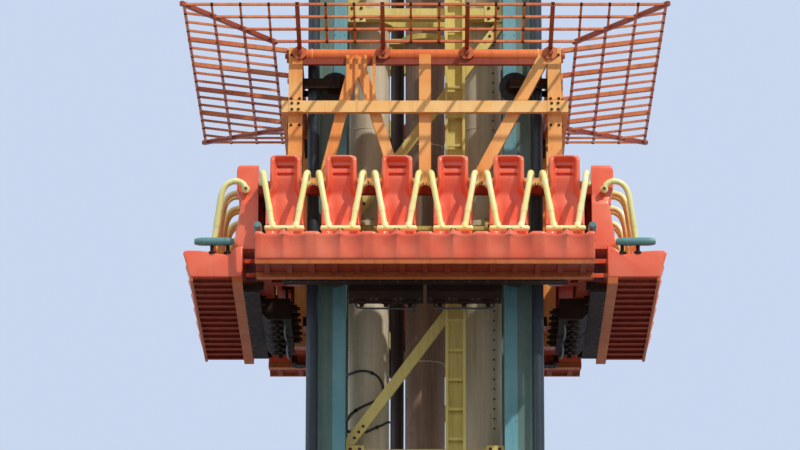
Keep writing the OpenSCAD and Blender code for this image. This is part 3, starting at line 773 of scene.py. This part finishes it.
def restraint_row(i):
    b = Batch()
    line = smooth_path([(x, -HINGE_D - out, HINGE_Z + up) for x, out, up in BAR_LINE], 4)
    end_y, end_z = -HINGE_D - END_OUT, HINGE_Z - END_DOWN
    hub = [(0.0, 0.032), (0.004, 0.042), (0.036, 0.042), (0.040, 0.036), (0.040, 0.020), (0.072, 0.018)]
    sleeve = [(0.0, 0.038), (0.045, 0.037), (0.062, 0.032)]
    half_bar = ((0.10, 0.031), (0.192, 0.031), (0.205, 0.027), (0.213, 0.018), (0.215, 0.008))
    bar = [(-x, r) for x, r in half_bar[::-1]] + [(0, 0.031)] + list(half_bar)
    for k in range(SEATS):
        cx = seat_middle(k)
        for a in (-1, 1):
            path = line * (a, 1, 1) + (cx, 0, 0)
            b.add(i, sweep(path, BAR_R, 14))
            b.add(i, lathe((cx + a * 0.2103, -HINGE_D, HINGE_Z), (a, 0, 0), hub, 20))
            b.add(i, bolt((cx + a * 0.282, -HINGE_D, HINGE_Z), (a, 0, 0), 0.012, 0.008), 1)
            for start, end in ((8, 12), (26, 29)):
                b.add(i, sweep(path[start:end], BAR_R + 0.003, 14))
            b.add(i, lathe((cx + a * END_X, end_y, end_z), (a * 0.06, 0.12, 1), sleeve, 16))
        b.add(i, sweep([(cx + x, end_y, end_z) for x, _ in bar], [r for _, r in bar], 16))
        low, high = (cx - 0.03, end_y - 0.035, end_z - 0.05), (cx + 0.03, end_y - 0.022, end_z - 0.01)
        b.add(i, box_shape(low, high, 0.004), 1)
    b.make(SIDES[i] + "_restraint_tubes", ["lemon", "steel"], SIDES[i] + "_restraint_row",
           45, [SIDES[i] + "_restraints"])


# Guide wheels

def wheels(i):
    b = Batch()
    r, w = 0.17, 0.03
    half_tyre = [(-w, 0.100), (-w, 0.150), (-w * 0.93, 0.160), (-w * 0.75, 0.167), (-w * 0.4, r), (0, r)]
    half_rim = [(-w - 0.004, 0.045), (-w - 0.004, 0.098), (-w + 0.006, 0.102)]
    half_hub = [(-0.045, 0.030), (-0.045, 0.058), (-0.038, 0.065)]
    tyre = half_tyre + [(-h, q) for h, q in half_tyre[-2::-1]]
    rim, hub = (half + [(-h, q) for h, q in half[::-1]] for half in (half_rim, half_hub))
    axle = [(-0.046, 0.022), (0.05, 0.035), (POST_IN - RAIL_AT, 0.035)]
    ring_r = 0.078
    for a in (-1, 1):
        for z in (WHEEL_HIGH, WHEEL_LOW):
            at = (a * 0.9845, -RAIL_AT, z)
            for shape, key, seg in ((tyre, 0, 36), (rim, 1, 36), (hub, 1, 36), (axle, 1, 16)):
                b.add(i, lathe(at, (0, -1, 0), shape, seg), key)
            for k in range(6):
                q = k * math.pi / 3
                p = (at[0] + ring_r * math.cos(q), at[1] + w + 0.004, at[2] + ring_r * math.sin(q))
                b.add(i, bolt(p, (0, 1, 0), 0.009, 0.008), 2)
    b.make(SIDES[i] + "_wheel_sets", ["rubber", "dark", "steel"], "carriage", 30,
           [SIDES[i] + "_guide_wheels"])


for i in range(4):
    restraint_row(i)
    wheels(i)


# Bolts, plates and seams of the tower

FRONT = (0, -1, 0)
PLATE_T, STRIP_T = 0.010, 0.008

tower = Batch()
for i in range(4):
    face = -COLUMN_AT - RING_W / 2
    for k in range(BAYS + 1):
        z = BASE_H + k * BAY_H
        for a in (-1, 1):
            x = a * LATTICE_HALF
            lo, hi = sorted((x, x - a * 0.20))
            plate = box_shape((lo, face - PLATE_T, z - 0.10), (hi, face, z + 0.10), 0.003)
            tower.add(i, plate, z=0)
            for bx in (0.05, 0.15):
                for bz in (-0.06, 0.06):
                    tower.add(i, bolt((x - a * bx, face - PLATE_T, z + bz), FRONT, 0.014, 0.012), 1, z=0)
    for k in range(BAYS):
        low, high = BASE_H + k * BAY_H + RING_W / 2, BASE_H + (k + 1) * BAY_H - RING_W / 2
        run = np.array([2 * LATTICE_HALF, high - low])
        run /= np.linalg.norm(run)
        for s, x, z in ((1, -LATTICE_HALF, low), (-1, LATTICE_HALF, high)):
            for d in (0.16, 0.24, 0.32):
                p = (x + s * run[0] * d, -COLUMN_AT - 0.04, z + s * run[1] * d)
                tower.add(i, bolt(p, FRONT, 0.013, 0.011), 1, z=0)

# Flange bolts of the tubes
ring_r = 0.245
for k in range(2, BAYS, 2):
    z = BASE_H + k * BAY_H + RING_W
    for tx, ty in TUBES:
        for n in range(16):
            q = (n + 0.5) * math.pi / 8
            x, y = tx + ring_r * math.cos(q), ty + ring_r * math.sin(q)
            tower.put(*bolt((x, y, z), (0, 0, -1), 0.012, 0.014), 1)
            tower.put(*bolt((x, y, z + FLANGE_T), (0, 0, 1), 0.012, 0.014), 1)

# Anchor bolts of the foot plates
for cx, cy in CORNER_SIGNS:
    for ax in (-1, 1):
        for ay in (-1, 1):
            p = (cx * COLUMN_AT + ax * 0.22, cy * COLUMN_AT + ay * 0.22, 0.04)
            tower.put(*lathe(p, (0, 0, 1), [(0, 0.018), (0.10, 0.018), (0.104, 0.014)], 12), 1)
            tower.put(*bolt(p, (0, 0, 1), 0.030, 0.034), 1)
tower.make("tower_plates_and_bolts", ["straw", "brown"], "tower", 30)

# Cover strips on the inner half of each column face
strips = Batch()
for i in range(4):
    for a in (-1, 1):
        lo, hi = sorted((a * (LATTICE_HALF + 0.004), a * (COLUMN_AT - 0.002)))
        strip = box_shape((lo, -COLUMN_FACE - STRIP_T, 0.45), (hi, -COLUMN_FACE, COLUMN_TOP - 0.10), 0.003)
        strips.add(i, strip, z=0)
        for k in range(BAYS * 4):
            for x in (lo + 0.018, hi - 0.018):
                p = (x, -COLUMN_FACE - STRIP_T, 0.75 + k * BAY_H / 4)
                strips.add(i, bolt(p, FRONT, 0.009, 0.005), z=0)
strips.make("column_cover_strips", ["teal"], "tower", 30)

# Weld seams round the tubes
seams = Batch()
bead = [(-0.008, TUBE_R - 0.001), (-0.004, TUBE_R + 0.003), (0.004, TUBE_R + 0.003), (0.008, TUBE_R - 0.001)]
for tx, ty in TUBES:
    for k in range(BAYS):
        seams.put(*lathe((tx, ty, BASE_H + (k + 0.5) * BAY_H), (0, 0, 1), bead, 40))
seams.make("tube_weld_seams", ["tube"], "tower", 40)

# Bolted seam up the front right tube
seam = Batch()
q = math.radians(-54)
out = np.array((math.cos(q), math.sin(q), 0))
across = np.array((-math.sin(q), math.cos(q), 0))
foot = (TUBE_AT, -TUBE_AT, 0) + TUBE_R * out
for k in range(BAYS):
    lo, hi = BASE_H + k * BAY_H + 0.30, BASE_H + (k + 1) * BAY_H - 0.15
    v = [foot + across * w + out * (h - 0.001) + (0, 0, z)
         for w, h in ((-0.028, 0.0), (-0.026, 0.006), (0.026, 0.006), (0.028, 0.0)) for z in (lo, hi)]
    seam.put(v, [(0, 2, 3, 1), (2, 4, 5, 3), (4, 6, 7, 5), (0, 1, 7, 6), (0, 6, 4, 2), (1, 3, 5, 7)])
    z = lo + 0.05
    while z < hi:
        seam.put(*bolt(foot + out * 0.005 + (0, 0, z), out, 0.009, 0.008), 1)
        z += 0.11
seam.make("tube_bolted_seam", ["tube", "brown"], "tower", 30)

# Cable clipped to the front left tube, as (x, z) on its skin
lead = Batch()
knots = [(-0.93, 14.02), (-0.88, 13.90), (-0.811, 13.876), (-0.70, 13.885), (-0.602, 13.870), (-0.515, 13.82),
         (-0.470, 13.74), (-0.463, 13.65), (-0.510, 13.57), (-0.60, 13.52), (-0.72, 13.465), (-0.811, 13.41),
         (-0.855, 13.33), (-0.82, 13.235), (-0.74, 13.19), (-0.64, 13.20), (-0.55, 13.245), (-0.46, 13.30),
         (-0.40, 13.36)]


def on_tube(x, z, out):
    """A point on the front left tube's skin: beyond its sides, x turns on round it."""
    q = (x + TUBE_AT) / TUBE_R
    a = math.asin(q) if abs(q) <= 1 else math.copysign(math.pi / 2 + (abs(q) - 1) * 1.6, q)
    r = TUBE_R + out
    return (-TUBE_AT + r * math.sin(a), -TUBE_AT - r * math.cos(a), z)


path = [on_tube(x, z, 0.013) for x, z, _ in smooth_path([(x, z, 0) for x, z in knots])]
clip = [(0, 0.013), (0.002, 0.018), (0.026, 0.018), (0.028, 0.013)]
lead.put(*sweep(path, 0.012, 10))
for k in (10, 34, 58, 82, 104, 130):
    p = np.array(path[k])
    axis = np.array(path[k + 1]) - path[k - 1]
    lead.put(*lathe(p - axis / np.linalg.norm(axis) * 0.014, axis, clip, 12), 1)
lead.make("clipped_cable", ["cable", "dark"], "tower", 40)


# Canopy clamps, frame plates and bolts, and the valve housings' fittings

def canopy_clamps(i):
    b = Batch()
    half, half_h = 0.017, 0.018
    slope = math.hypot(CAN_OUT - CAN_IN, CAN_RISE)
    for row in range(4):
        s = (slope - (row * (slope - 0.028) / 3 + 0.014)) / slope
        d, z = CAN_IN + s * (CAN_OUT - CAN_IN), CAN_Z + s * CAN_RISE
        for k in range(-8, 8):
            x = (k + 0.5) * RIB
            if abs(x) < d - 0.05:
                low, high = (x - half, -d - half, z - half_h), (x + half, -d + half, z + half_h)
                b.add(i, box_shape(low, high, 0.006))
    b.make(SIDES[i] + "_canopy_clamps", ["dark"], "carriage", 30)


def rib_cheeks(cx):
    """The two cheek plates that hold a main rib on the top tube."""
    inner, outer = -POST_IN - 0.0755, -POST_OUT - 0.022
    for a in (-1, 1):
        near, far = cx + a * 0.06, cx + a * 0.072
        v = [(near, inner, TOP_Z - 0.075), (far, inner, TOP_Z - 0.075), (far, outer, TOP_Z - 0.03),
             (near, outer, TOP_Z - 0.03), (near, inner, TOP_Z + 0.07), (far, inner, TOP_Z + 0.07),
             (far, outer, TOP_Z + 0.06), (near, outer, TOP_Z + 0.06)]
        yield v, [(0, 1, 2, 3), (4, 7, 6, 5), (0, 4, 5, 1), (1, 5, 6, 2), (2, 6, 7, 3), (3, 7, 4, 0)]


def frame_plates(i):
    b = Batch()
    face = -POST_OUT - BELT_T - 0.006
    for a in (-1, 1):
        for x in (a * 1.45, a * 1.38):
            for z in (BELT_Z - 0.035, BELT_Z + 0.035):
                b.add(i, bolt((x, face, z), FRONT, 0.013, 0.010), 1)
        lo, hi = sorted((a * 1.33, a * 1.488))
        b.add(i, box_shape((lo, face, BELT_Z - 0.062), (hi, face + 0.006, BELT_Z + 0.062), 0.002), 3)
    eye = [(0, 0.030), (0.016, 0.030), (0.020, 0.024)]
    for x in (-4.5, -1.5, 1.5, 4.5):
        b.add(i, lathe((x * RIB, -POST_OUT - 0.024, TOP_Z + 0.01), FRONT, eye, 16), 2)
        for cheek in rib_cheeks(x * RIB):
            b.add(i, cheek, 2)
    for x in (-1.415, 1.415):
        for z in (2.60, 2.10, 1.80, 1.30, 0.30):
            for dx in (-0.045, 0.045):
                b.add(i, bolt((x + dx, -POST_OUT, z), FRONT, 0.013, 0.011), 1)
    for x in (-0.62, 0.62, -1.04, 1.04, -0.2, 0.2):
        b.add(i, bolt((x, -POST_OUT, 1.145), FRONT, 0.013, 0.011), 1)
    collar = [(0, 0.0735), (0.004, 0.080), (0.012, 0.080), (0.016, 0.0735)]
    for a in (-1, 1):
        for t in (0.012, 0.11):
            b.add(i, lathe((a * (POST_IN - t), -1.415, TOP_Z), (a, 0, 0), collar, 28))
    half, low = POST_IN - 0.002, TOP_Z - 0.118
    # The rail under the top tube and its lip are dark red as painted shade
    b.add(i, box_shape((-half, -POST_OUT + 0.004, low), (half, -POST_OUT + 0.012, TOP_Z - 0.05), 0.002), 2)
    b.add(i, box_shape((-half, -POST_OUT + 0.010, low), (half, -POST_OUT + 0.060, low + 0.008), 0.002), 2)
    b.make(SIDES[i] + "_frame_plates", ["orange", "brown", "bracket", "pale"], "carriage", 30)


def valve_fittings(i):
    """Caps, bolts and a pipe under each housing, a cylinder behind each seat, and the tray under the row."""
    b = Batch()
    down, inward = (0, 0, -1), (0, 1, 0)
    cap = [(0, 0.062), (0.03, 0.062), (0.036, 0.05), (0.036, 0.024), (0.07, 0.024)]
    side_cap = [(0, 0.045), (0.06, 0.045), (0.07, 0.038), (0.07, 0.02), (0.10, 0.02)]
    half_pipe = ((0.32, -1.52, 0.068), (0.32, -1.52, 0.03), (0.26, -1.53, 0.005))
    pipe = [(-x, y, z) for x, y, z in half_pipe] + [(0, -1.54, 0)] + list(half_pipe[::-1])
    low = -HOUSING_H - 0.07
    for hx in (-HOUSING_AT, HOUSING_AT):
        for k in (-1, 0, 1):
            x = hx + k * 0.26
            b.add(i, lathe((x, -1.62, -HOUSING_H), down, cap, 18))
            b.add(i, lathe((x + 0.08, -1.469, -0.08), inward, side_cap, 16))
            for bx in (-0.10, 0.10):
                for y in (-1.52, -1.70):
                    b.add(i, bolt((x + bx, y, -HOUSING_H), down, 0.010, 0.009), 1)
        for z in (-0.18, -0.02):
            for k in range(7):
                b.add(i, bolt((hx - 0.36 + k * 0.12, -1.47, z), inward, 0.009, 0.008), 1)
        b.add(i, sweep(smooth_path([(hx + x, y, low + z) for x, y, z in pipe], 6), 0.011, 8), 2)
    cylinder = [(0, 0.018), (0.03, 0.018), (0.03, 0.034), (0.42, 0.034), (0.42, 0.014), (0.60, 0.014)]
    for k in range(SEATS):
        cx = seat_middle(k)
        b.add(i, lathe((cx + 0.09, -1.715, 0.22), (0, 0, 1), cylinder, 14))
        b.add(i, box_shape((cx + 0.035, -1.752, 0.17), (cx + 0.145, -1.68, 0.235), 0.006))
        b.add(i, box_shape((cx + 0.035, -1.752, 0.80), (cx + 0.145, -1.70, 0.86), 0.006))
    b.add(i, box_shape((-1.50, -1.958, -0.082), (1.50, -1.785, -0.070), 0.003))
    for k in range(16):
        b.add(i, bolt((-1.44 + k * 0.192, -1.935, -0.082), down, 0.009, 0.008), 1)
    b.make(SIDES[i] + "_valve_fittings", ["dark", "steel", "hose"], "carriage", 35)


for i in range(4):
    canopy_clamps(i)
    frame_plates(i)
    valve_fittings(i)

# Plain pale floor, which isn't part of the ride
FLOOR_R = 9.0
disc = bmesh.new()
bmesh.ops.create_circle(disc, cap_ends=True, segments=96, radius=FLOOR_R)
floor_mesh = bpy.data.meshes.new("floor")
disc.to_mesh(floor_mesh)
disc.free()
floor_mesh.materials.append(plain("floor_pale", (226, 225, 221), (218, 217, 212), 0.8, scale=3.0, bump=0.05))
floor = bpy.data.objects.new("floor", floor_mesh)
floor.location.z = -0.002
scene.collection.objects.link(floor)
